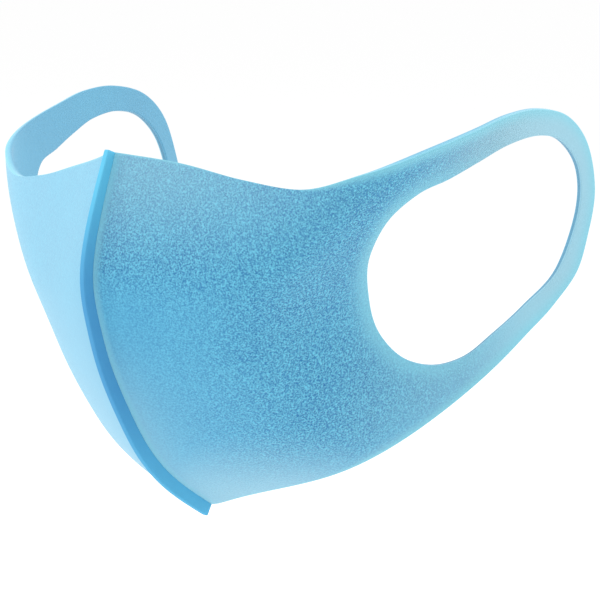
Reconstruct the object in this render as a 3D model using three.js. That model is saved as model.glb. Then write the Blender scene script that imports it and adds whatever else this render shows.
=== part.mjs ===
// Reusable pollen filter mask in its worn form, in millimetres.
// Two foam halves, each cut in one piece with its ear loop, meet at a bonded seam
// that stands forward as a keel. The origin is the seat on the bridge of the nose.
// X runs to the wearer's left, Y back from the face's front, Z up.
import * as THREE from 'three';

const FOAM = 2.0; // thickness of the foam sheet
const SEAM_HALF = 0.9; // half the thickness of the pressed seam
const SEAM_BACK = 2.0; // how far the seam reaches in behind the crease
const EDGE_X = 1.2; // where each half's front edge stops, beside the seam
const ROWS = 9; // grid rows from the ear opening out to the edge
const SEAM_STEPS = 44; // lengths along the keel
const SAG = 3.5; // how far the wearer's right half drops beside the nose
const SAG_AT = 11; // distance behind the seam where that drop is greatest
const LOOP_DROP = 2.2; // drop of the right ear loop, LOOP_AT behind the seam
const LOOP_AT = 100;
const FINE = 1200; // steps along a traced edge
const PASSES = 60; // rounds of evening out the grid
const PROBE = 0.05; // step for a slope

const PANEL_COLOUR = '#74bedd';
const SEAM_COLOUR = '#4c9ccc';

// The crease where the halves meet the seam, in side view, and the keel's depth there.
const SEAM = [
  { z: 2.4, y: -2.5, keel: 2.8 },
  { z: -11, y: -7.1, keel: 3.2 },
  { z: -23, y: -10.5, keel: 3.5 },
  { z: -34, y: -11.7, keel: 3.6 },
  { z: -45, y: -9.4, keel: 3.7 },
  { z: -59, y: -4.3, keel: 3.9 },
  { z: -73, y: 3.4, keel: 4.0 },
  { z: -85, y: 11.8, keel: 4.0 },
  { z: -95, y: 23.0, keel: 3.9 },
  { z: -103.6, y: 37.0, keel: 3.7 },
];

// Level sections of one half: it leaves the seam with a slope (mm out for each mm back),
// turns back along the cheek near a half width, with a sharper turn for a larger bend,
// and then flares a little for each mm back.
const SECTIONS = [
  { z: 13, slope: 3.1, cheek: 83.5, flare: 0.01, bend: 6.0 },
  { z: -12, slope: 2.7, cheek: 65.5, flare: 0.15, bend: 5.4 },
  { z: -37, slope: 2.2, cheek: 41.2, flare: 0.31, bend: 4.7 },
  { z: -62, slope: 1.67, cheek: 30.0, flare: 0.49, bend: 4.1 },
  { z: -87, slope: 1.08, cheek: 24.4, flare: 0.63, bend: 3.5 },
  { z: -107, slope: 0.2, cheek: 18.0, flare: 0.71, bend: 3.0 },
];

// Free edge of one half in side view: the nose end of the seam, the dip over the cheek,
// the ear loop's top, its back, the jaw line and the chin end of the seam.
const FREE_EDGE = [
  [-2.5, 2.4], [3.2, 0.2], [8.4, -3.7], [14, -5.8], [22.8, -1.7], [37, 3.4],
  [57.8, 9.4], [70, 12.8], [83, 14], [96.3, 11.4], [105, 4.2], [110.2, -9.5],
  [111.1, -23], [109, -34.4], [100.7, -44], [90, -52.8], [72, -68.4],
  [58.5, -80.8], [51, -88.1], [43.9, -95.7], [37, -103.6],
];

// Ear opening of one half in side view, from its front end over the top and round.
const EAR_OPENING = [
  [35.2, -25], [35.2, -14.8], [41.6, -7.9], [51.1, -4.3], [61, 0], [71.8, 4.3],
  [84.4, 6.3], [94, 4.4], [102.4, -3.5], [105.6, -19.4], [102, -34.3],
  [91.4, -43.7], [81.2, -51.1], [71.8, -57.4], [63.2, -59.3], [54.6, -56.7],
  [47, -49.2], [41, -37.8],
];

// Spokes of the grid: a point of the outer edge, the point of the ear opening that
// faces it, and how many columns follow before the next spoke. The last one runs
// up the seam to the first.
const SPOKES = [
  { edge: [-2.5, 2.4], opening: [35.4, -27], columns: 10 },
  { edge: [22.8, -1.7], opening: [36.4, -12.4], columns: 6 },
  { edge: [37, 3.4], opening: [43.5, -7.2], columns: 12 },
  { edge: [83, 14], opening: [84.4, 6.3], columns: 8 },
  { edge: [110.2, -9.5], opening: [104.8, -10], columns: 8 },
  { edge: [100.7, -44], opening: [95.5, -40.5], columns: 8 },
  { edge: [72, -68.4], opening: [69.5, -58.2], columns: 12 },
  { edge: [37, -103.6], opening: [50, -53], columns: 24 },
];

// Natural cubic through a table's column, as a function of height; straight beyond it.
function column(table, name) {
  const rows = [...table].sort((a, b) => a.z - b.z);
  const n = rows.length;
  const h = rows.slice(1).map((row, i) => row.z - rows[i].z);
  const rise = rows.slice(1).map((row, i) => (row[name] - rows[i][name]) / h[i]);
  const bend = new Array(n).fill(0);
  const over = new Array(n).fill(0);
  for (let i = 1; i < n - 1; i++) {
    const lead = 2 * (h[i - 1] + h[i]) - h[i - 1] * over[i - 1];
    over[i] = h[i] / lead;
    bend[i] = (6 * (rise[i] - rise[i - 1]) - h[i - 1] * bend[i - 1]) / lead;
  }
  for (let i = n - 2; i > 0; i--) bend[i] -= over[i] * bend[i + 1];
  const startSlope = rise[0] - (h[0] * bend[1]) / 6;
  const endSlope = rise[n - 2] + (h[n - 2] * bend[n - 2]) / 6;
  return (z) => {
    if (z <= rows[0].z) return rows[0][name] + startSlope * (z - rows[0].z);
    if (z >= rows[n - 1].z) return rows[n - 1][name] + endSlope * (z - rows[n - 1].z);
    let i = 0;
    while (z > rows[i + 1].z) i++;
    const a = (rows[i + 1].z - z) / h[i];
    const b = 1 - a;
    const cubic = ((a ** 3 - a) * bend[i] + (b ** 3 - b) * bend[i + 1]) * h[i] * h[i] / 6;
    return a * rows[i][name] + b * rows[i + 1][name] + cubic;
  };
}

const seamY = column(SEAM, 'y');
const keelDepth = column(SEAM, 'keel');
const slope = column(SECTIONS, 'slope');
const cheek = column(SECTIONS, 'cheek');
const flare = column(SECTIONS, 'flare');
const bend = column(SECTIONS, 'bend');

// Distance of the outer skin from the middle plane at a place in side view.
function halfWidth(y, z) {
  const back = Math.max(y - seamY(z), 0);
  const out = slope(z) * back;
  const turned = (1 + (out / cheek(z)) ** bend(z)) ** (1 / bend(z));
  return EDGE_X + out / turned + flare(z) * back;
}

// Slope of the outer skin: how halfWidth changes along Y and along Z.
function steepness(y, z) {
  const d = PROBE;
  const back = y - seamY(z);
  const dy = (halfWidth(y + d, z) - halfWidth(y, z)) / d;
  if (back > 1) return [dy, (halfWidth(y, z + d) - halfWidth(y, z - d)) / (2 * d)];
  return [dy, (-dy * (seamY(z + d) - seamY(z - d))) / (2 * d)];
}

// Vertical drop of the wearer's right half, by the distance behind the seam.
function drop(y, z) {
  const back = Math.max(y - seamY(z), 0);
  return SAG * (back / SAG_AT) * Math.exp(1 - back / SAG_AT) + LOOP_DROP * (back / LOOP_AT) ** 2;
}

// Evenly spaced points along a smooth curve through side-view points.
function traced(points, closed) {
  const knots = points.map(([y, z]) => new THREE.Vector3(0, y, z));
  const curve = new THREE.CatmullRomCurve3(knots, closed, 'centripetal');
  curve.arcLengthDivisions = FINE;
  return curve.getSpacedPoints(FINE).map((p) => [p.y, p.z]);
}

function nearest(points, [y, z]) {
  let best = 0;
  const far = points.map((p) => Math.hypot(p[0] - y, p[1] - z));
  for (let i = 1; i < far.length; i++) if (far[i] < far[best]) best = i;
  return best;
}

// Side-view grid of one half: columns round the ear opening, rows from it outwards.
function sideGrid() {
  const freeEdge = traced(FREE_EDGE, false);
  const opening = traced(EAR_OPENING, true).slice(0, -1);
  const top = SEAM[0].z;
  const chin = SEAM[SEAM.length - 1].z;
  const seam = [];
  for (let i = 0; i <= FINE; i++) {
    const z = chin + ((top - chin) * i) / FINE;
    seam.push([seamY(z), z]);
  }
  const inner = [];
  const outer = [];
  SPOKES.forEach((spoke, k) => {
    const next = SPOKES[(k + 1) % SPOKES.length];
    const alongSeam = k === SPOKES.length - 1;
    const from = nearest(opening, spoke.opening);
    const length = (nearest(opening, next.opening) - from + opening.length) % opening.length;
    const edge = alongSeam ? seam : freeEdge;
    const start = alongSeam ? 0 : nearest(freeEdge, spoke.edge);
    const end = alongSeam ? seam.length - 1 : nearest(freeEdge, next.edge);
    for (let i = 0; i < spoke.columns; i++) {
      const share = i / spoke.columns;
      inner.push(opening[Math.round(from + length * share + opening.length) % opening.length]);
      outer.push(edge[Math.round(start + (end - start) * share)]);
    }
  });
  return relaxed(inner, outer);
}

// Straight spokes, then each inner place drawn towards the middle of its nearer
// neighbours, so that the cells spread evenly into the corners.
function relaxed(inner, outer) {
  const n = inner.length;
  const grid = inner.map((p, i) => {
    const q = outer[i];
    return Array.from({ length: ROWS + 1 }, (_, j) => [
      p[0] + ((q[0] - p[0]) * j) / ROWS,
      p[1] + ((q[1] - p[1]) * j) / ROWS,
    ]);
  });
  for (let pass = 0; pass < PASSES; pass++) {
    for (let i = 0; i < n; i++) {
      const before = grid[(i + n - 1) % n];
      const after = grid[(i + 1) % n];
      for (let j = 1; j < ROWS; j++) {
        const [low, high] = [grid[i][j - 1], grid[i][j + 1]];
        const across = 1 / Math.hypot(high[0] - low[0], high[1] - low[1]) ** 2;
        const wide = Math.hypot(after[j][0] - before[j][0], after[j][1] - before[j][1]);
        const round = 1 / wide ** 2;
        for (let k = 0; k < 2; k++) {
          const sum = round * (before[j][k] + after[j][k]) + across * (low[k] + high[k]);
          grid[i][j][k] = sum / (2 * (round + across));
        }
      }
    }
  }
  return grid;
}

// Outer and inner skin points over a side-view place; on the seam the inner one
// slides back until it stops beside the seam too.
function skins(y, z, onSeam) {
  const [fy, fz] = steepness(y, z);
  const size = Math.hypot(1, fy, fz);
  const x = onSeam ? EDGE_X : halfWidth(y, z);
  const inner = [x - FOAM / size, y + (FOAM * fy) / size, z + (FOAM * fz) / size];
  if (onSeam) {
    const slide = FOAM / size / (fy * fy + fz * fz);
    inner[0] = EDGE_X;
    inner[1] += fy * slide;
    inner[2] += fz * slide;
  }
  return [[x, y, z], inner];
}

// One closed foam half; side is +1 for the wearer's left and -1 for the right.
function foamHalf(grid, side) {
  const n = grid.length;
  const m = ROWS + 1;
  const seamFrom = n - SPOKES[SPOKES.length - 1].columns;
  const positions = [];
  for (const skin of [0, 1]) {
    grid.forEach((spoke, i) => {
      spoke.forEach(([y, z], j) => {
        const onSeam = j === ROWS && (i >= seamFrom || i === 0);
        const point = skins(y, z, onSeam)[skin];
        const low = side < 0 ? drop(y, z) : 0;
        positions.push(side * point[0], point[1], point[2] - low);
      });
    });
  }
  const index = [];
  const quad = (a, b, c, d) => {
    if (side < 0) index.push(a, b, c, a, c, d);
    else index.push(a, c, b, a, d, c);
  };
  const at = (skin, i, j) => skin * n * m + (i % n) * m + j;
  for (let i = 0; i < n; i++) {
    for (let j = 0; j < ROWS; j++) {
      quad(at(0, i, j), at(0, i, j + 1), at(0, i + 1, j + 1), at(0, i + 1, j));
      quad(at(1, i, j), at(1, i + 1, j), at(1, i + 1, j + 1), at(1, i, j + 1));
    }
    quad(at(0, i, 0), at(0, i + 1, 0), at(1, i + 1, 0), at(1, i, 0));
    quad(at(0, i, ROWS), at(1, i, ROWS), at(1, i + 1, ROWS), at(0, i + 1, ROWS));
  }
  return closedGeometry(positions, index);
}

// The pressed seam: a thin blade in the middle plane, square-cut at both ends.
function seamBlade() {
  const top = SEAM[0].z;
  const chin = SEAM[SEAM.length - 1].z;
  const positions = [];
  for (let i = 0; i <= SEAM_STEPS; i++) {
    const z = top + ((chin - top) * i) / SEAM_STEPS;
    const lean = (seamY(z + PROBE) - seamY(z - PROBE)) / (2 * PROBE);
    const size = Math.hypot(1, lean);
    const ahead = keelDepth(z);
    for (const [x, reach] of [
      [-SEAM_HALF, ahead], [SEAM_HALF, ahead], [SEAM_HALF, -SEAM_BACK], [-SEAM_HALF, -SEAM_BACK],
    ]) {
      positions.push(x, seamY(z) - reach / size, z + (reach * lean) / size);
    }
  }
  const index = [0, 1, 2, 0, 2, 3];
  const last = 4 * SEAM_STEPS;
  index.push(last, last + 2, last + 1, last, last + 3, last + 2);
  for (let i = 0; i < SEAM_STEPS; i++) {
    for (let k = 0; k < 4; k++) {
      const a = 4 * i + k;
      const b = 4 * i + ((k + 1) % 4);
      index.push(a, a + 4, b + 4, a, b + 4, b);
    }
  }
  return closedGeometry(positions, index);
}

function closedGeometry(positions, index) {
  const geometry = new THREE.BufferGeometry();
  geometry.setAttribute('position', new THREE.Float32BufferAttribute(positions, 3));
  geometry.setIndex(index);
  geometry.computeVertexNormals();
  return geometry;
}

function foam(name, colour, geometry) {
  const material = new THREE.MeshStandardMaterial({ color: colour, roughness: 0.9, metalness: 0 });
  const mesh = new THREE.Mesh(geometry, material);
  mesh.name = name;
  return mesh;
}

const grid = sideGrid();
const group = new THREE.Group();
group.name = 'pollen_filter_mask';
group.add(foam('left_panel', PANEL_COLOUR, foamHalf(grid, 1)));
group.add(foam('right_panel', PANEL_COLOUR, foamHalf(grid, -1)));
group.add(foam('front_seam', SEAM_COLOUR, seamBlade()));

export default group;
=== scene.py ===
"""Looks of a reusable pollen filter mask in its worn form.

Two foam halves with integral ear loops and the pressed seam between them are made as
numpy surfaces over the side view, dressed in matte open-cell foam, and lit by a soft
studio. In the side view y runs back and z runs up. Lengths are millimetres, except in
the finishes, the finished meshes and the studio, which use metres.
"""

import logging
import math
from dataclasses import dataclass
from enum import Enum
from typing import NamedTuple

import bpy
import numpy as np
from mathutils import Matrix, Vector


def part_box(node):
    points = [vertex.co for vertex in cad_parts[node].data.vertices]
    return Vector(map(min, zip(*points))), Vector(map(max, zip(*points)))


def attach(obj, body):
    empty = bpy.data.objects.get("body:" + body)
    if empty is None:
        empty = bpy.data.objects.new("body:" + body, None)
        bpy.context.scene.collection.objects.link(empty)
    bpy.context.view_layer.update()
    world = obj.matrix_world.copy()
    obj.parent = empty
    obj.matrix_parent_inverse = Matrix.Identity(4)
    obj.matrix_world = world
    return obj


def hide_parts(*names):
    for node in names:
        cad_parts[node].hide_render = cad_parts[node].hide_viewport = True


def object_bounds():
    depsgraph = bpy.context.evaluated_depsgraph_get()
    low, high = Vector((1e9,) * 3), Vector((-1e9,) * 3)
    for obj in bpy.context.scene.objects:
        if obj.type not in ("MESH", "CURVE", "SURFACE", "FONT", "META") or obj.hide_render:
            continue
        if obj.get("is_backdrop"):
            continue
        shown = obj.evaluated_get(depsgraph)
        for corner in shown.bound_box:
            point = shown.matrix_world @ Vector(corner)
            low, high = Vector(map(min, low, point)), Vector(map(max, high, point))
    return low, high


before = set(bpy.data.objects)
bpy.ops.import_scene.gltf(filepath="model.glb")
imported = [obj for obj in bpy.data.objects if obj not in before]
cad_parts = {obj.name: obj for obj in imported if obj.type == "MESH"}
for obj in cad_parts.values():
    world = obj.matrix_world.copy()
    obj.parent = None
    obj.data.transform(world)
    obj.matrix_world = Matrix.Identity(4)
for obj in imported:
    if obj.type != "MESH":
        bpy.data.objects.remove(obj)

log = logging.getLogger("mask")
MM = 0.001
Array = np.ndarray
Span = tuple[float, float]

PROBE = 0.05  # step of the finite differences
FAR = 1e3  # a distance past every edge
TINY = 1e-9  # keeps a radius above zero
SEAM_GAP = 0.03  # how far the halves stay off the seam's flanks
CURVE_STEPS = 80  # points traced between two knots of a side-view curve
SEAM_STEPS = 1201  # points traced down the crease


class Side(Enum):
    """Which half of the mask, as the sign of its X."""

    LEFT = 1
    RIGHT = -1


class SeamRow(NamedTuple):
    """The crease in side view and the keel's depth ahead of it."""

    z: float
    y: float
    keel: float


class SectionRow(NamedTuple):
    """A level section of one half: slope off the seam, cheek half width, flare and bend."""

    z: float
    slope: float
    cheek: float
    flare: float
    bend: float


class Spoke(NamedTuple):
    """A place of the outer edge, the place of the ear opening it faces, and its columns."""

    edge: Span
    opening: Span
    columns: int


SEAM = (
    SeamRow(2.4, -2.5, 2.8),
    SeamRow(-11, -7.1, 3.2),
    SeamRow(-23, -10.5, 3.5),
    SeamRow(-34, -11.7, 3.6),
    SeamRow(-45, -9.4, 3.7),
    SeamRow(-59, -4.3, 3.9),
    SeamRow(-73, 3.4, 4.0),
    SeamRow(-85, 11.8, 4.0),
    SeamRow(-95, 23.0, 3.9),
    SeamRow(-103.6, 37.0, 3.7),
)
SECTIONS = (
    SectionRow(13, 3.1, 83.5, 0.01, 6.0),
    SectionRow(-12, 2.7, 65.5, 0.15, 5.4),
    SectionRow(-37, 2.2, 41.2, 0.31, 4.7),
    SectionRow(-62, 1.67, 30.0, 0.49, 4.1),
    SectionRow(-87, 1.08, 24.4, 0.63, 3.5),
    SectionRow(-107, 0.2, 18.0, 0.71, 3.0),
)
FREE_EDGE = (
    (-2.5, 2.4), (3.2, 0.2), (8.4, -3.7), (14, -5.8), (22.8, -1.7), (37, 3.4), (57.8, 9.4),
    (70, 12.8), (83, 14), (96.3, 11.4), (105, 4.2), (110.2, -9.5), (111.1, -23),
    (109, -34.4), (100.7, -44), (90, -52.8), (72, -68.4), (58.5, -80.8), (51, -88.1),
    (43.9, -95.7), (37, -103.6),
)
EAR_OPENING = (
    (35.2, -25), (35.2, -14.8), (41.6, -7.9), (51.1, -4.3), (61, 0), (71.8, 4.3),
    (84.4, 6.3), (94, 4.4), (102.4, -3.5), (105.6, -19.4), (102, -34.3), (91.4, -43.7),
    (81.2, -51.1), (71.8, -57.4), (63.2, -59.3), (54.6, -56.7), (47, -49.2), (41, -37.8),
)
SPOKES = (
    Spoke((-2.5, 2.4), (35.4, -27), 10),
    Spoke((22.8, -1.7), (36.4, -12.4), 6),
    Spoke((37, 3.4), (43.5, -7.2), 12),
    Spoke((83, 14), (84.4, 6.3), 8),
    Spoke((110.2, -9.5), (104.8, -10), 8),
    Spoke((100.7, -44), (95.5, -40.5), 8),
    Spoke((72, -68.4), (69.5, -58.2), 12),
    Spoke((37, -103.6), (50, -53), 24),
)


def smooth(value: Array, low: float, high: float) -> Array:
    """Smoothstep t²·(3 − 2t), where t runs from 0 at low to 1 at high.

    Args:
        value: what is measured.
        low: where the step starts.
        high: where the step ends.

    Returns:
        0 below low, 1 above high, and a soft rise between.
    """
    t = np.clip((value - low) / (high - low), 0, 1)
    return t * t * (3 - 2 * t)


def swell(distance: Array, peak: float) -> Array:
    """Hump from 0 up to 1 at peak and slowly down: s·exp(1 − s), with s = distance/peak."""
    return (distance / peak) * np.exp(1 - distance / peak)


def bell(distance: Array, reach: Array | float) -> Array:
    """Bell curve, 1 at no distance: e to the power of −(distance/reach)²."""
    return np.exp(-((distance / reach) ** 2))


def between(places: Array, known: Array, rows: Array) -> Array:
    """Rows at places between the known ones, each column on straight lines."""
    return np.stack([np.interp(places, known, column) for column in rows.T], -1)


@dataclass(frozen=True)
class NaturalCubic:
    """Natural cubic through knots, straight beyond both ends."""

    at: Array
    value: Array
    bending: Array

    @classmethod
    def through(cls, at: list[float], value: list[float]) -> "NaturalCubic":
        """Solves for the second derivatives at the knots.

        Args:
            at: where the knots are.
            value: the value at each knot.

        Returns:
            The curve, with its knots in rising order.
        """
        order = np.argsort(at)
        x = np.asarray(at, float)[order]
        v = np.asarray(value, float)[order]
        h = np.diff(x)
        matrix = np.diag(2 * (h[:-1] + h[1:])) + np.diag(h[1:-1], 1) + np.diag(h[1:-1], -1)
        bending = np.zeros(len(x))
        bending[1:-1] = np.linalg.solve(matrix, 6 * np.diff(np.diff(v) / h))
        return cls(x, v, bending)

    @classmethod
    def column(
        cls, rows: tuple[SeamRow, ...] | tuple[SectionRow, ...], name: str
    ) -> "NaturalCubic":
        """Curve of one column of a table over its levels."""
        return cls.through([row.z for row in rows], [getattr(row, name) for row in rows])

    def __call__(self, z: Array) -> Array:
        """Value at given levels.

        Between two knots, h apart, with values v and second derivatives m, it is
        a·v0 + b·v1 + ((a³ − a)·m0 + (b³ − b)·m1)·h²/6, where b is the share of the way
        gone and a the share left. Beyond the end knots it runs on straight.

        Args:
            z: the levels.

        Returns:
            The value at each level.
        """
        x, v, m = self.at, self.value, self.bending
        h = np.diff(x)
        rise = np.diff(v) / h
        inside = np.clip(z, x[0], x[-1])
        i = np.clip(np.searchsorted(x, inside, side="right") - 1, 0, len(h) - 1)
        b = (inside - x[i]) / h[i]
        a = 1 - b
        cubic = ((a**3 - a) * m[i] + (b**3 - b) * m[i + 1]) * h[i] ** 2 / 6
        start = (rise[0] - h[0] * m[1] / 6) * np.minimum(z - x[0], 0)
        end = (rise[-1] + h[-1] * m[-2] / 6) * np.maximum(z - x[-1], 0)
        return a * v[i] + b * v[i + 1] + cubic + start + end


@dataclass(frozen=True)
class SideCurve:
    """A smooth side-view curve as dense points and the length run at each."""

    points: Array
    run: Array

    @classmethod
    def through(cls, knots: tuple[Span, ...], closed: bool) -> "SideCurve":
        """Centripetal Catmull-Rom curve through side-view knots.

        From one knot to the next it is a cubic. It leaves and arrives in the directions
        set by the knots on either side, which count by the root of their distance.

        Args:
            knots: (y, z) places in order.
            closed: whether the last knot runs on to the first.

        Returns:
            The traced curve.
        """
        k = np.array(knots, float)
        if closed:
            p = np.vstack([k[-1:], k, k[:2]])
        else:
            p = np.vstack([2 * k[0] - k[1], k, 2 * k[-1] - k[-2]])
        gap = np.sqrt(np.linalg.norm(np.diff(p, axis=0), axis=1))[:, None]
        p0, p1, p2, p3 = (q[:, None] for q in (p[:-3], p[1:-2], p[2:-1], p[3:]))
        d0, d1, d2 = (q[:, None] for q in (gap[:-2], gap[1:-1], gap[2:]))
        leave = ((p1 - p0) / d0 - (p2 - p0) / (d0 + d1) + (p2 - p1) / d1) * d1
        arrive = ((p2 - p1) / d1 - (p3 - p1) / (d1 + d2) + (p3 - p2) / d2) * d1
        t = np.linspace(0, 1, CURVE_STEPS, endpoint=False)[None, :, None]
        square = -3 * p1 + 3 * p2 - 2 * leave - arrive
        cube = 2 * p1 - 2 * p2 + leave + arrive
        dense = (p1 + leave * t + square * t**2 + cube * t**3).reshape(-1, 2)
        return cls.traced(np.vstack([dense, p[-2:-1]]))

    @classmethod
    def traced(cls, points: Array) -> "SideCurve":
        """Wraps dense points with the length run at each."""
        step = np.linalg.norm(np.diff(points, axis=0), axis=1)
        return cls(points, np.concatenate([[0.0], np.cumsum(step)]))

    @property
    def length(self) -> float:
        """Length of the whole curve."""
        return float(self.run[-1])

    def nearest(self, place: Span) -> float:
        """Length run at the curve's point nearest to a place."""
        return float(self.run[np.argmin(np.linalg.norm(self.points - place, axis=1))])

    def at(self, run: Array) -> Array:
        """Points at the given lengths."""
        return between(run, self.run, self.points)


@dataclass(frozen=True)
class WornForm:
    """Outer skin of the mask as a half width over the side view."""

    crease: NaturalCubic
    keel: NaturalCubic
    slope: NaturalCubic
    cheek: NaturalCubic
    flare: NaturalCubic
    bend: NaturalCubic
    front_x: float
    seam_x: float
    draw_in: float = 1.5
    crease_zone: float = 1.0
    sag: float = 3.5
    sag_at: float = 11.0
    loop_drop: float = 2.2
    loop_at: float = 100.0

    @classmethod
    def from_tables(cls, front_x: float, seam_x: float) -> "WornForm":
        """Builds the form from the seam and section tables.

        Args:
            front_x: half width where the halves start.
            seam_x: half width that they are drawn in to, beside the seam.

        Returns:
            The worn form.
        """
        return cls(
            crease=NaturalCubic.column(SEAM, "y"),
            keel=NaturalCubic.column(SEAM, "keel"),
            slope=NaturalCubic.column(SECTIONS, "slope"),
            cheek=NaturalCubic.column(SECTIONS, "cheek"),
            flare=NaturalCubic.column(SECTIONS, "flare"),
            bend=NaturalCubic.column(SECTIONS, "bend"),
            front_x=front_x,
            seam_x=seam_x,
        )

    def back(self, y: Array, z: Array) -> Array:
        """Distance behind the crease along Y."""
        return np.maximum(y - self.crease(z), 0)

    def lean(self, z: Array) -> Array:
        """Slope of the crease: how far it runs back for each millimetre up."""
        return (self.crease(z + PROBE) - self.crease(z - PROBE)) / (2 * PROBE)

    def half_width(self, y: Array, z: Array) -> Array:
        """Half width of the outer skin.

        The skin leaves the seam at a slope, out = slope·back, bends over to the cheek's
        half width, out/(1 + (out/cheek)^bend)^(1/bend), and flares by flare·back. Next to
        the seam it is drawn in, by an amount that dies away behind it.

        Args:
            y: side-view places, back.
            z: side-view places, up.

        Returns:
            Half width at each place.
        """
        back = self.back(y, z)
        out = self.slope(z) * back
        bend = self.bend(z)
        turned = (1 + (out / self.cheek(z)) ** bend) ** (1 / bend)
        drawn_in = (self.front_x - self.seam_x) * np.exp(-back / self.draw_in)
        return self.front_x - drawn_in + out / turned + self.flare(z) * back

    def normal(self, y: Array, z: Array) -> Array:
        """Outward unit normal of the left half's outer skin.

        It is (1, −dx/dy, −dx/dz) at unit length, from finite differences. Close behind
        the crease, a step up or down could leave the skin, so dx/dz follows from dx/dy
        and the lean of the crease.

        Args:
            y: side-view places, back.
            z: side-view places, up.

        Returns:
            A normal for each place.
        """
        here = self.half_width(y, z)
        dy = (self.half_width(y + PROBE, z) - here) / PROBE
        above, below = self.half_width(y, z + PROBE), self.half_width(y, z - PROBE)
        behind = y - self.crease(z) > self.crease_zone
        dz = np.where(behind, (above - below) / (2 * PROBE), -dy * self.lean(z))
        n = np.stack([np.ones_like(dy), -dy, -dz], -1)
        return n / np.linalg.norm(n, axis=-1, keepdims=True)

    def settle(self, y: Array, z: Array) -> Array:
        """Drop of the wearer's right half: a hump behind the seam and a fall at the loop.

        Args:
            y: side-view places, back.
            z: side-view places, up.

        Returns:
            Drop at each place.
        """
        back = self.back(y, z)
        return self.sag * swell(back, self.sag_at) + self.loop_drop * (back / self.loop_at) ** 2


@dataclass(frozen=True)
class SideNet:
    """Side-view net of one half: columns round the ear opening, rows out to the edge."""

    grid: Array

    @classmethod
    def relaxed(
        cls, form: WornForm, rows: int = 9, passes: int = 400, finer: int = 5
    ) -> "SideNet":
        """Draws spokes from the ear opening to the edge and evens them out.

        Each inner place is drawn to the middle of its neighbours, weighted by one over the
        squared spacing. The net is then made finer, and its two edges are put back on
        their curves, with the correction blended across the rows.

        Args:
            form: the worn form, for the crease.
            rows: cells between the opening and the edge.
            passes: rounds of evening out.
            finer: columns made from each one.

        Returns:
            The net, as (columns, rows + 1, 2).
        """
        inner, outer = cls._edges(form, 1)
        share = np.linspace(0, 1, rows + 1)[None, :, None]
        grid = inner[:, None] * (1 - share) + outer[:, None] * share
        for _ in range(passes):
            before, after = np.roll(grid, 1, 0)[:, 1:-1], np.roll(grid, -1, 0)[:, 1:-1]
            low, high = grid[:, :-2], grid[:, 2:]
            across = 1 / np.sum((high - low) ** 2, -1, keepdims=True)
            around = 1 / np.sum((after - before) ** 2, -1, keepdims=True)
            total = around * (before + after) + across * (low + high)
            grid[:, 1:-1] = total / (2 * (around + across))
        part = (np.arange(finer) / finer)[None, :, None, None]
        fine = grid[:, None] * (1 - part) + np.roll(grid, -1, 0)[:, None] * part
        fine = fine.reshape(-1, rows + 1, 2)
        inner, outer = cls._edges(form, finer)
        off_inner = (inner - fine[:, 0])[:, None]
        off_outer = (outer - fine[:, -1])[:, None]
        return cls(fine + off_inner * (1 - share) + off_outer * share)

    @staticmethod
    def _edges(form: WornForm, finer: int) -> tuple[Array, Array]:
        """Places of the ear opening and of the outer edge, even between two spokes.

        Args:
            form: the worn form, for the crease.
            finer: columns made from each one.

        Returns:
            A place of the opening and a place of the edge for each column.
        """
        free = SideCurve.through(FREE_EDGE, closed=False)
        opening = SideCurve.through(EAR_OPENING, closed=True)
        z = np.linspace(SEAM[-1].z, SEAM[0].z, SEAM_STEPS)
        seam = np.stack([form.crease(z), z], -1)
        even = np.arange(len(seam)) / (len(seam) - 1)
        inner, outer = [], []
        for spoke, after in zip(SPOKES, SPOKES[1:] + SPOKES[:1]):
            share = np.arange(spoke.columns * finer) / (spoke.columns * finer)
            start = opening.nearest(spoke.opening)
            length = (opening.nearest(after.opening) - start) % opening.length
            inner.append(opening.at((start + length * share) % opening.length))
            if spoke is SPOKES[-1]:
                outer.append(between(share, even, seam))
            else:
                first, last = free.nearest(spoke.edge), free.nearest(after.edge)
                outer.append(free.at(first + (last - first) * share))
        return np.concatenate(inner), np.concatenate(outer)


def quad_object(
    name: str, points: Array, quads: Array, marks: dict[str, Array]
) -> bpy.types.Object:
    """Makes a smooth-shaded quad mesh object at the origin.

    Args:
        name: the object's name.
        points: vertices in millimetres, (n, 3).
        quads: vertex indices, (m, 4).
        marks: named values for each vertex, for the finishes to read.

    Returns:
        The new object, linked to the scene.
    """
    mesh = bpy.data.meshes.new(name)
    mesh.vertices.add(len(points))
    mesh.vertices.foreach_set("co", (points * MM).astype(np.float32).ravel())
    mesh.loops.add(quads.size)
    mesh.loops.foreach_set("vertex_index", quads.astype(np.int32).ravel())
    mesh.polygons.add(len(quads))
    mesh.polygons.foreach_set("loop_start", np.arange(0, quads.size, 4, dtype=np.int32))
    mesh.polygons.foreach_set("use_smooth", np.ones(len(quads), dtype=bool))
    mesh.update(calc_edges=True)
    mesh.validate()
    for key, values in marks.items():
        layer = mesh.attributes.new(key, "FLOAT", "POINT")
        layer.data.foreach_set("value", values.astype(np.float32).ravel())
    obj = bpy.data.objects.new(name, mesh)
    bpy.context.collection.objects.link(obj)
    return obj


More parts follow.
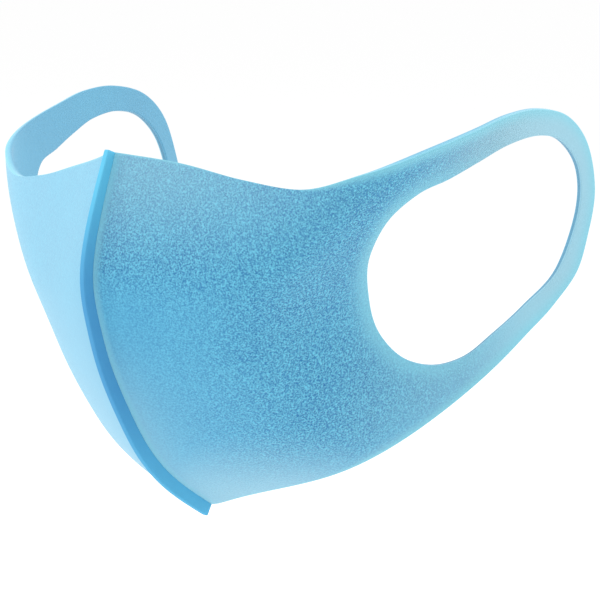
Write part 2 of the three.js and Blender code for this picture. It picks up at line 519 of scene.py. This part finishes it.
class Shader:
    """A small builder of shader nodes."""

    MIX_INPUTS = (0, 6, 7)  # the mix node's amount and its two colours
    MIX_OUTPUT = 2  # the mix node's colour

    def __init__(self, name: str) -> None:
        """Starts an empty material with a Principled shader.

        Args:
            name: the material's name.
        """
        self.material = bpy.data.materials.new(name)
        self.material.use_nodes = True
        self.tree = self.material.node_tree
        self.surface = self.tree.nodes["Principled BSDF"]

    def put(self, socket: bpy.types.NodeSocket, value: object) -> None:
        """Links an output to a socket or sets its value.

        Args:
            socket: the input.
            value: another node's output, or a constant.
        """
        if isinstance(value, bpy.types.NodeSocket):
            self.tree.links.new(value, socket)
        else:
            socket.default_value = value

    def fill(self, node: bpy.types.Node, sockets: dict[str, object]) -> None:
        """Puts values into a node's inputs, named with _ for a space."""
        for key, value in sockets.items():
            self.put(node.inputs[key.replace("_", " ")], value)

    def node(self, kind: str, **sockets: object) -> bpy.types.Node:
        """Adds a node; a socket's value is a constant or another node's output.

        Args:
            kind: the node's type.
            **sockets: input names, with _ for a space, and what goes in.

        Returns:
            The new node.
        """
        node = self.tree.nodes.new(kind)
        self.fill(node, sockets)
        return node

    def dress(self, **sockets: object) -> bpy.types.Material:
        """Fills the Principled shader and gives the finished material."""
        self.fill(self.surface, sockets)
        return self.material

    def place(self) -> bpy.types.NodeSocket:
        """The place on the piece, in its own metres."""
        return self.node("ShaderNodeTexCoord").outputs["Object"]

    def mark(self, name: str) -> bpy.types.NodeSocket:
        """The value of a mesh's named mark.

        Args:
            name: the mark.

        Returns:
            The socket that gives it.
        """
        node = self.node("ShaderNodeAttribute")
        node.attribute_name = name
        return node.outputs["Fac"]

    def clamped(self, operation: str, *values: object) -> bpy.types.NodeSocket:
        """A sum, product or other operation, held between 0 and 1.

        Args:
            operation: the math node's operation.
            *values: what goes into its inputs, in order.

        Returns:
            The socket that gives the result.
        """
        node = self.node("ShaderNodeMath")
        node.operation = operation
        node.use_clamp = True
        for socket, value in zip(node.inputs, values):
            self.put(socket, value)
        return node.outputs[0]

    def mix(self, amount: object, a: object, b: object) -> bpy.types.NodeSocket:
        """A colour mixed from a to b.

        Args:
            amount: 0 for a, 1 for b.
            a: the first colour.
            b: the second colour.

        Returns:
            The socket that gives the mixed colour.
        """
        node = self.node("ShaderNodeMix")
        node.data_type = "RGBA"
        for index, value in zip(self.MIX_INPUTS, (amount, a, b)):
            self.put(node.inputs[index], value)
        return node.outputs[self.MIX_OUTPUT]

    def spread(self, value: object, span: Span) -> bpy.types.NodeSocket:
        """A value rescaled so that a span becomes 0 to 1.

        Args:
            value: what is stretched.
            span: what becomes 0 and what becomes 1.

        Returns:
            The socket that gives the result.
        """
        low, high = span
        node = self.node("ShaderNodeMapRange", Value=value, From_Min=low, From_Max=high)
        return node.outputs[0]


def linear(code: str, gain: float = 1.0) -> tuple[float, float, float, float]:
    """Linear colour from an sRGB hex code, times a gain.

    Each channel is ((c + 0.055)/1.055)^2.4, or c/12.92 near black.

    Args:
        code: the colour, as "#rrggbb".
        gain: what every channel is multiplied by.

    Returns:
        Red, green, blue and a full alpha.
    """
    channels = [int(code[i : i + 2], 16) / 255 for i in (1, 3, 5)]
    rgb = [((c + 0.055) / 1.055) ** 2.4 if c > 0.04045 else c / 12.92 for c in channels]
    return (*(gain * c for c in rgb), 1.0)


@dataclass(frozen=True)
class FoamFinish:
    """Open-cell foam: mottled deep blue, with paler painted highlights where light falls and at
    its rims.

    The mottle is fine specks plus pores. A half's marks say how much of it shows, and
    where the painted highlights lie over it.
    """

    name: str = "open_cell_foam"
    deep: str = "#086aac"
    light: str = "#6dd2f0"
    # painted highlight: the pale tone laid where light falls, on the loop, chin, jaw, brow and
    # right half
    painted_highlight: str = "#9bcbdd"
    # painted highlight along the outer edge and round the ear opening
    rim: str = "#86d0e2"
    inside: str = "#69adcd"
    cut: str = "#5c96b4"
    gain: float = 0.86
    cell: float = 0.5 * MM
    speck: Span = (0.41, 0.63)
    speck_detail: float = 3.0
    speck_share: float = 0.7
    pores_per_cell: float = 0.8
    pore: Span = (0.15, 0.75)
    pore_share: float = 0.3
    plain_level: float = 0.5
    cloud_scale: float = 45.0
    cloud_detail: float = 2.0
    cloud: Span = (0.3, 0.7)
    haze: float = 0.12
    bump: float = 0.9
    relief: float = 0.25 * MM
    roughness: float = 0.95
    specular: float = 0.2
    sheen: float = 0.3
    sheen_roughness: float = 0.6

    def material(self) -> bpy.types.Material:
        """Builds the foam's material.

        Returns:
            A material that reads Object coordinates and the mesh's marks.
        """
        s = Shader(self.name)
        place = s.place()
        specks = s.node(
            "ShaderNodeTexNoise", Vector=place, Scale=1 / self.cell, Detail=self.speck_detail
        )
        pores = s.node(
            "ShaderNodeTexVoronoi", Vector=place, Scale=self.pores_per_cell / self.cell
        )
        clouds = s.node(
            "ShaderNodeTexNoise", Vector=place, Scale=self.cloud_scale, Detail=self.cloud_detail
        )
        speck = s.spread(specks.outputs["Fac"], self.speck)
        pore = s.clamped(
            "MULTIPLY", s.spread(pores.outputs["Distance"], self.pore), self.pore_share
        )
        mottle = s.clamped("MULTIPLY_ADD", speck, self.speck_share, pore)
        grain = s.mark("grain")
        plain = s.clamped("MULTIPLY", s.clamped("SUBTRACT", 1.0, grain), self.plain_level)
        level = s.clamped("MULTIPLY_ADD", mottle, grain, plain)
        light = linear(self.light, self.gain)
        colour = s.mix(level, linear(self.deep, self.gain), light)
        # pale and rim lay the painted highlights over the mottle
        over = {"pale": self.painted_highlight, "rim": self.rim, "inner": self.inside, "cut": self.cut}
        for mark, code in over.items():
            colour = s.mix(s.mark(mark), colour, linear(code, self.gain))
        haze = s.clamped("MULTIPLY", s.spread(clouds.outputs["Fac"], self.cloud), self.haze)
        strength = s.clamped("MULTIPLY", grain, self.bump)
        bump = s.node("ShaderNodeBump", Strength=strength, Distance=self.relief, Height=mottle)
        return s.dress(
            Base_Color=s.mix(haze, colour, light),
            Normal=bump.outputs["Normal"],
            Roughness=self.roughness,
            Specular_IOR_Level=self.specular,
            Sheen_Weight=self.sheen,
            Sheen_Roughness=self.sheen_roughness,
        )


@dataclass(frozen=True)
class SeamFinish:
    """Pressed foam: smoother and deeper in colour, slightly lighter at both ends."""

    name: str = "pressed_foam"
    middle: str = "#4a98cc"
    ends: str = "#60c1e6"
    gain: float = 0.86
    grain_scale: float = 600.0
    grain_detail: float = 2.0
    grain_share: float = 0.12
    bump: float = 0.12
    relief: float = 0.1 * MM
    roughness: float = 0.8
    specular: float = 0.25

    def material(self) -> bpy.types.Material:
        """Builds the pressed seam's material.

        Returns:
            A material that reads Object coordinates and the mesh's end mark.
        """
        s = Shader(self.name)
        grain = s.node(
            "ShaderNodeTexNoise",
            Vector=s.place(),
            Scale=self.grain_scale,
            Detail=self.grain_detail,
        ).outputs["Fac"]
        ends = linear(self.ends, self.gain)
        colour = s.mix(s.mark("end"), linear(self.middle, self.gain), ends)
        faint = s.clamped("MULTIPLY", grain, self.grain_share)
        bump = s.node("ShaderNodeBump", Strength=self.bump, Distance=self.relief, Height=grain)
        return s.dress(
            Base_Color=s.mix(faint, colour, ends),
            Normal=bump.outputs["Normal"],
            Roughness=self.roughness,
            Specular_IOR_Level=self.specular,
        )


@dataclass(frozen=True)
class FloorFinish:
    """A plain white floor."""

    name: str = "white_floor"
    tone: float = 0.97

    def material(self) -> bpy.types.Material:
        """Builds the floor's material, matte and without a shine."""
        tone = (self.tone, self.tone, self.tone, 1.0)
        return Shader(self.name).dress(Base_Color=tone, Roughness=1.0, Specular_IOR_Level=0.0)


@dataclass(frozen=True)
class ToneMap:
    """Where a half is painted paler than plain foam, as painted highlights where light falls, and
    where its grain is smoother.

    A pair is the span over which a tone comes in: along y for the loop, down for the
    loop's underside, the chin, the jaw and the seam, up for the brow, and behind the
    crease for the rim. A reach is how far a tone runs from an edge or from the crease.
    The rest are strengths from 0 to 1.
    """

    loop: Span = (28.0, 80.0)
    loop_under: Span = (25.0, 55.0)
    loop_rear: Span = (70.0, 95.0)
    loop_under_loss: float = 0.5
    loop_calm: Span = (62.0, 95.0)
    chin: Span = (74.0, 104.0)
    chin_pale: float = 0.75
    jaw: Span = (40.0, 80.0)
    jaw_pale: float = 0.6
    jaw_reach: float = 9.0
    brow: Span = (-35.0, 0.0)
    brow_pale: float = 0.45
    brow_reach: float = 22.0
    rim: Span = (2.0, 8.0)
    rim_pale: float = 0.85
    rim_reach: float = 1.2
    rim_reach_more: float = 1.4
    rim_calm: float = 0.7
    opening_pale: float = 0.8
    opening_reach: float = 4.2
    seam: Span = (25.0, 45.0)
    seam_calm: float = 0.8
    seam_reach: float = 15.0
    calm: float = 0.85
    inner_pale: float = 0.3
    inner_grain: float = 0.25


@dataclass
class FoamPanel:
    """One foam half, cut in one piece with its ear loop.

    The flat size and the area of the cut sheet are in metres and square metres; nothing reads
    them.
    """

    side: Side
    form: WornForm
    net: SideNet
    finish: FoamFinish
    tones: ToneMap = ToneMap()
    thickness: float = 2.0
    corner: float = 0.35
    corner_rows: int = 4
    middle_rows: int = 36
    cut_rows: int = 3
    skin_steps: int = 61
    round_from: Span = (0.2, 2.2)
    plane_until: Span = (0.0, 3.0)
    lip: float = 0.35
    lip_at: float = 2.5
    grain: float = 1.0
    # painted highlight level over the whole half, standing in for light falling on that side
    highlight_level: float = 0.0
    flat: Span = (0.175, 0.122)
    area: float = 0.0098

    @property
    def node(self) -> str:
        """Name of the CAD node that this half stands for."""
        return "left_panel" if self.side is Side.LEFT else "right_panel"

    def build(self) -> bpy.types.Object:
        """Makes the half as a closed ring of rows carried round the ear opening.

        Returns:
            The dressed half, riding on the part's body.
        """
        places, from_opening, from_edge = self._stations()
        ring = self._ring(*self._skins(places, from_opening, from_edge))
        if self.side is Side.RIGHT:
            drop = self.form.settle(places[..., 0], places[..., 1])[..., None]
            ring[..., 2] -= self._ring(drop, drop)[..., 0]
        ring[..., 0] *= self.side.value
        marks = self._marks(places, from_opening, from_edge)
        name = "foam_left" if self.side is Side.LEFT else "foam_right"
        obj = quad_object(name, ring.reshape(-1, 3), self._quads(ring), marks)
        self._dress(obj)
        return obj

    def _dress(self, obj: bpy.types.Object) -> None:
        """Gives the half its finish and its place in the part.

        Args:
            obj: the half's object.
        """
        obj.data.materials.append(self.finish.material())
        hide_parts(self.node)
        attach(obj, "root")

    def _stations(self) -> tuple[Array, Array, Array]:
        """Side-view places along each column, closer together at both edges.

        The rows are even along the skin, except that the last corner radius at each edge
        has its own rows, at r·(1 − cos) of even turns.

        Returns:
            (columns, rows, 2) places and each one's distance from the ear opening and
            from the outer edge, along the skin.
        """
        grid = self.net.grid
        columns, rows = grid.shape[:2]
        fine = np.linspace(0, rows - 1, self.skin_steps)
        low = np.minimum(fine.astype(int), rows - 2)
        part = (fine - low)[None, :, None]
        dense = grid[:, low] * (1 - part) + grid[:, low + 1] * part
        x = self.form.half_width(dense[..., 0], dense[..., 1])
        skin = np.concatenate([x[..., None], dense], -1)
        run = np.cumsum(np.linalg.norm(np.diff(skin, axis=1), axis=-1), axis=1)
        run = np.concatenate([np.zeros((columns, 1)), run], 1)
        turn = np.linspace(0, math.pi / 2, self.corner_rows)
        near = self.corner * (1 - np.cos(turn))
        even = np.linspace(0, 1, self.middle_rows + 2)[1:-1]
        whole = run[:, -1:]
        middle = near[-1] + (whole - 2 * near[-1]) * even
        reach = np.concatenate([np.tile(near, (columns, 1)), middle, whole - near[::-1]], 1)
        places = np.stack([between(*column) for column in zip(reach, run, dense)])
        return places, reach, whole - reach

    def _skins(
        self, places: Array, from_opening: Array, from_edge: Array
    ) -> tuple[Array, Array]:
        """Outer and inner skin over the side-view places.

        A point of depth t lies t·(n − (1 − w)·nx·x)/(1 − (1 − w)·nx²) inside the worn
        form, where n is its normal, x points across, and w rises from 0 at the crease to
        1 behind it. So the front edge stays in one plane while the sheet keeps its
        thickness. Free edges are rounded: at a distance d, the skins lie
        r − √(r² − (r − d)²) nearer to the middle. A low lip stands behind the seam.

        Args:
            places: side-view places, as (columns, rows, 2).
            from_opening: distance from the ear opening along the skin.
            from_edge: distance from the outer edge along the skin.

        Returns:
            Points of the outer skin and of the inner skin.
        """
        y, z = places[..., 0], places[..., 1]
        back = self.form.back(y, z)
        n = self.form.normal(y, z)
        free = smooth(back, *self.round_from)
        edge = np.minimum(from_opening, np.where(free > 0, from_edge, FAR))
        r = self.corner * free + TINY
        middle = self.thickness / 2
        half = middle - r + np.sqrt(r**2 - (r - np.minimum(edge, r)) ** 2)
        full = n[..., 0:1]
        held = full - smooth(back, *self.plane_until)[..., None] * full
        inward = n - held * np.array([1.0, 0.0, 0.0])
        inward /= 1 - held * full
        skin = np.concatenate([self.form.half_width(y, z)[..., None], places], -1)
        lip = self.lip * swell(back, self.lip_at)
        top = skin - inward * (middle - half)[..., None] + n * lip[..., None]
        return top, skin - inward * (middle + half)[..., None]

    def _ring(self, top: Array, under: Array) -> Array:
        """Closed ring: outer rows, cut face, inner rows backwards, other cut face.

        Args:
            top: values on the outer skin, as (columns, rows, n).
            under: values on the inner skin, as (columns, rows, n).

        Returns:
            The values in the ring's order; those of a cut face lie evenly between.
        """
        share = (np.arange(1, self.cut_rows + 1) / (self.cut_rows + 1))[None, :, None]
        far = top[:, -1:] * (1 - share) + under[:, -1:] * share
        near = under[:, :1] * (1 - share) + top[:, :1] * share
        return np.concatenate([top, far, under[:, ::-1], near], 1)

    def _quads(self, ring: Array) -> Array:
        """Faces of the closed ring of rows, pointing outwards.

        Args:
            ring: points, as (columns, around, 3).

        Returns:
            Vertex indices, four to a face.
        """
        columns, around = ring.shape[:2]
        index = np.arange(columns * around).reshape(columns, around)
        right, up = np.roll(index, -1, 0), np.roll(index, -1, 1)
        quads = np.stack([index, up, np.roll(right, -1, 1), right], -1).reshape(-1, 4)
        return quads[:, ::-1] if self.side is Side.LEFT else quads

    def _marks(self, places: Array, from_opening: Array, from_edge: Array) -> dict[str, Array]:
        """Values that the finish reads at each point.

        The paleness, a painted highlight for light falling there, is the strongest of the loop,
        the chin, the jaw, the brow and the half's own painted highlight level. The rim, also a
        painted highlight, follows the outer edge and the ear opening, and the grain fades in the
        loop, at the chin and jaw, under the rim highlight and where the foam is pressed by the
        seam. Inside, the tones are even.
        The inner mark leaves out the cut face of the outer edge, and the cut mark is on
        the cut face of the ear opening alone.

        Args:
            places: side-view places, as (columns, rows, 2).
            from_opening: distance from the ear opening along the skin.
            from_edge: distance from the outer edge along the skin.

        Returns:
            pale, rim, grain, inner and cut, in the order of the ring's points.
        """
        t = self.tones
        y, z = places[..., 0], places[..., 1]
        back = self.form.back(y, z)
        # painted highlights: paler foam at the loop's rear, the chin, the jaw and the brow, where
        # light falls
        under_ear = smooth(-z, *t.loop_under) * (1 - smooth(y, *t.loop_rear))
        loop = smooth(y, *t.loop) * (1 - t.loop_under_loss * under_ear)
        chin = smooth(-z, *t.chin) * t.chin_pale
        jaw = np.exp(-from_edge / t.jaw_reach) * smooth(-z, *t.jaw) * t.jaw_pale
        brow = t.brow_pale * bell(back, t.brow_reach) * smooth(z, *t.brow)
        pale = np.maximum.reduce([loop, chin, jaw, brow, np.full_like(y, self.highlight_level)])
        # painted highlight along the outer edge and round the ear opening
        rim_reach = t.rim_reach + t.rim_reach_more * smooth(back, *t.rim)
        edge_lift = t.rim_pale * bell(from_edge, rim_reach)
        opening_lift = t.opening_pale * bell(from_opening, t.opening_reach) * (1 - loop)
        lift = np.maximum(edge_lift, opening_lift)
        # grain fades by the seam and under the painted highlights of the loop, chin, jaw and rims
        by_seam = t.seam_calm * bell(back, t.seam_reach) * smooth(-z, *t.seam)
        by_loop = smooth(y, *t.loop_calm)
        calm = np.maximum.reduce([by_loop, chin, jaw, t.rim_calm * lift, by_seam])
        zero, one = np.zeros_like(y), np.ones_like(y)
        pairs = {
            "pale": (pale, t.inner_pale * one),
            "rim": (lift, zero),
            "grain": (self.grain * (1 - t.calm * calm), t.inner_grain * one),
            "inner": (zero, one),
        }
        marks = {k: self._ring(a[..., None], b[..., None])[..., 0] for k, (a, b) in pairs.items()}
        rows = y.shape[1]
        marks["inner"][:, rows : rows + self.cut_rows] = 0
        marks["cut"] = np.zeros_like(marks["inner"])
        marks["cut"][:, -self.cut_rows :] = 1
        return {k: v.reshape(-1) for k, v in marks.items()}


@dataclass
class FrontSeam:
    """The pressed seam: a thin blade that stands ahead of the crease as a keel."""

    form: WornForm
    finish: SeamFinish
    half: float = 0.9
    behind: float = 2.0
    corner: float = 0.3
    corner_points: int = 5
    flank_steps: int = 5
    steps: int = 180
    end_round: float = 0.2
    end_share: float = 0.3
    end_tone: Span = (4.0, 42.0)
    low_half: float = -50.0
    low_tone: float = 0.6

    def build(self) -> bpy.types.Object:
        """Carries a rounded rectangle along the crease and closes both ends.

        Each section stands square to the crease: a point that reaches r ahead of it lies
        at the crease's place plus r times the unit vector square to its lean.

        Returns:
            The dressed seam, riding on the part's body.
        """
        z, inset = self._levels()
        lean = self.form.lean(z)
        size = np.hypot(1, lean)
        section = np.stack([self._section(k, i) for k, i in zip(self.form.keel(z), inset)])
        x, reach = section[..., 0], section[..., 1]
        y = self.form.crease(z)[:, None] - reach / size[:, None]
        height = z[:, None] + reach * (lean / size)[:, None]
        points = np.stack([x, y, height], -1)
        rings, around = points.shape[:2]
        near_end = np.minimum(z[0] - z, z - z[-1])
        end = (1 - smooth(near_end, *self.end_tone)) * np.where(
            z < self.low_half, self.low_tone, 1.0
        )
        marks = {"end": np.repeat(end, around)}
        quads = self._quads(rings, around)
        obj = quad_object("seam_band", points.reshape(-1, 3), quads, marks)
        self._dress(obj)
        return obj

    def _dress(self, obj: bpy.types.Object) -> None:
        """Gives the seam its finish and its place in the part.

        Args:
            obj: the seam's object.
        """
        obj.data.materials.append(self.finish.material())
        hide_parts("front_seam")
        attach(obj, "root")

    def _levels(self) -> tuple[Array, Array]:
        """Levels of the sections and how far each is drawn in, for rounded ends.

        Returns:
            The levels from the top down, and the inset of each section.
        """
        z = np.linspace(SEAM[0].z, SEAM[-1].z, self.steps + 1)
        first = self.end_round * self.end_share
        lead = np.array([0, first])
        z = np.concatenate([z[0] - lead, z[1:-1], z[-1] + lead[::-1]])
        inset = np.zeros(len(z))
        inset[[0, -1]] = self.end_round
        inset[[1, -2]] = first
        return z, inset

    def _section(self, keel: float, inset: float) -> Array:
        """Rounded rectangle of the blade, one corner after the other.

        Args:
            keel: how far it stands ahead of the crease.
            inset: how far every side is drawn in.

        Returns:
            (across, ahead) points in order.
        """
        r = self.corner
        wide, ahead, behind = self.half - inset - r, keel - inset - r, self.behind - inset - r
        turn = np.linspace(0, math.pi / 2, self.corner_points)
        corner = np.stack([np.cos(turn), np.sin(turn)], -1) * r
        flip = np.array([-1, 1])
        front_right = corner + [wide, ahead]
        front_left = (corner * flip)[::-1] + [-wide, ahead]
        rear_left = -corner + [-wide, -behind]
        rear_right = (corner * -flip)[::-1] + [wide, -behind]
        share = np.linspace(0, 1, self.flank_steps + 1)[1:-1, None]
        left = front_left[-1] * (1 - share) + rear_left[0] * share
        right = rear_right[-1] * (1 - share) + front_right[0] * share
        return np.concatenate([front_right, front_left, left, rear_left, rear_right, right])

    @staticmethod
    def _quads(rings: int, around: int) -> Array:
        """Faces of the blade and of its two ends, pointing outwards.

        Args:
            rings: sections along the seam.
            around: points of one section.

        Returns:
            Vertex indices, four to a face.
        """
        index = np.arange(rings * around).reshape(rings, around)
        up = np.roll(index, -1, 1)
        sides = np.stack([up[:-1], up[1:], index[1:], index[:-1]], -1).reshape(-1, 4)
        k = np.arange(around // 2 - 1)
        cap = np.stack([around - 1 - k, around - 2 - k, k + 1, k], -1)
        return np.concatenate([sides, cap, cap[:, ::-1] + (rings - 1) * around])


@dataclass(frozen=True)
class Lamp:
    """A soft square light."""

    name: str
    place: tuple[float, float, float]
    size: float
    power: float
    tint: tuple[float, float, float] = (1.0, 1.0, 1.0)


@dataclass
class Studio:
    """Plain floor, even white surround, soft lights and the camera."""

    finish: FloorFinish
    target: tuple[float, float, float] = (0.0, 0.07645, -0.047)
    azimuth: float = 42.0
    elevation: float = 7.09
    distance: float = 1.2
    lens: float = 241.2
    sensor: float = 36.0
    clip: Span = (0.05, 60.0)
    surround: float = 1.02
    below: float = 0.07
    floor_half: float = 20.0
    lamps: tuple[Lamp, ...] = (
        Lamp("key", (-0.75, -0.55, 0.45), 0.7, 5.0, (1.0, 0.97, 0.92)),
        Lamp("rim", (0.35, 0.9, 0.45), 0.6, 2.5),
        Lamp("top", (0.1, 0.1, 0.95), 0.9, 3.0),
    )

    def build(self, low: Vector) -> None:
        """Sets the stage.

        Args:
            low: lowest corner of the object, which the floor lies under.
        """
        self._floor(low.z - self.below)
        scene = bpy.context.scene
        scene.view_settings.view_transform = "Standard"
        scene.world = bpy.data.worlds.new("surround")
        scene.world.use_nodes = True
        background = scene.world.node_tree.nodes["Background"]
        background.inputs["Color"].default_value = (1, 1, 1, 1)
        background.inputs["Strength"].default_value = self.surround
        for lamp in self.lamps:
            self._light(lamp)
        self._camera(scene)

    def _floor(self, level: float) -> None:
        """Lays the floor as one square.

        Args:
            level: its height.
        """
        square = np.array([[-1, -1, 0], [1, -1, 0], [1, 1, 0], [-1, 1, 0]])
        points = square * self.floor_half / MM
        points[:, 2] = level / MM
        floor = quad_object("floor", points, np.array([[0, 1, 2, 3]]), {})
        floor.data.materials.append(self.finish.material())
        floor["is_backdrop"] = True

    def _light(self, lamp: Lamp) -> None:
        """Adds one soft light, turned to the target.

        Args:
            lamp: the light's place, size, power and tint.
        """
        data = bpy.data.lights.new(lamp.name, "AREA")
        data.size = lamp.size
        data.energy = lamp.power
        data.color = lamp.tint
        obj = bpy.data.objects.new(lamp.name, data)
        obj.location = lamp.place
        aim = Vector(self.target) - Vector(lamp.place)
        obj.rotation_euler = aim.to_track_quat("-Z", "Y").to_euler()
        bpy.context.collection.objects.link(obj)

    def _camera(self, scene: bpy.types.Scene) -> None:
        """Adds the camera on its bearing round the target.

        Args:
            scene: the scene that it is the camera of.
        """
        a, e = math.radians(self.azimuth), math.radians(self.elevation)
        away = Vector((math.sin(a) * math.cos(e), -math.cos(a) * math.cos(e), math.sin(e)))
        data = bpy.data.cameras.new("camera")
        data.sensor_width = self.sensor
        data.lens = self.lens
        data.clip_start, data.clip_end = self.clip
        obj = bpy.data.objects.new("camera", data)
        obj.location = Vector(self.target) + away * self.distance
        obj.rotation_euler = (-away).to_track_quat("-Z", "Y").to_euler()
        bpy.context.collection.objects.link(obj)
        scene.camera = obj


def main() -> None:
    """Builds the mask and its studio, and notes each piece's face count."""
    logging.basicConfig(level=logging.INFO, format="%(name)s: %(message)s")
    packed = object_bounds()
    _, seam_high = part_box("front_seam")
    panel_low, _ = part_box("left_panel")
    form = WornForm.from_tables(panel_low.x / MM, seam_high.x / MM + SEAM_GAP)
    net = SideNet.relaxed(form)
    foam = FoamFinish()
    left = FoamPanel(Side.LEFT, form, net, foam).build()
    # the right half is painted paler all over, a painted highlight for the key light on its side,
    # and its grain is fainter
    right = FoamPanel(Side.RIGHT, form, net, foam, grain=0.3, highlight_level=0.45).build()
    seam = FrontSeam(form, SeamFinish(), half=seam_high.x / MM).build()
    for piece in (left, right, seam):
        log.info("%s: %d faces", piece.name, len(piece.data.polygons))
    Studio(FloorFinish()).build(packed[0])


if __name__ == "__main__":
    main()
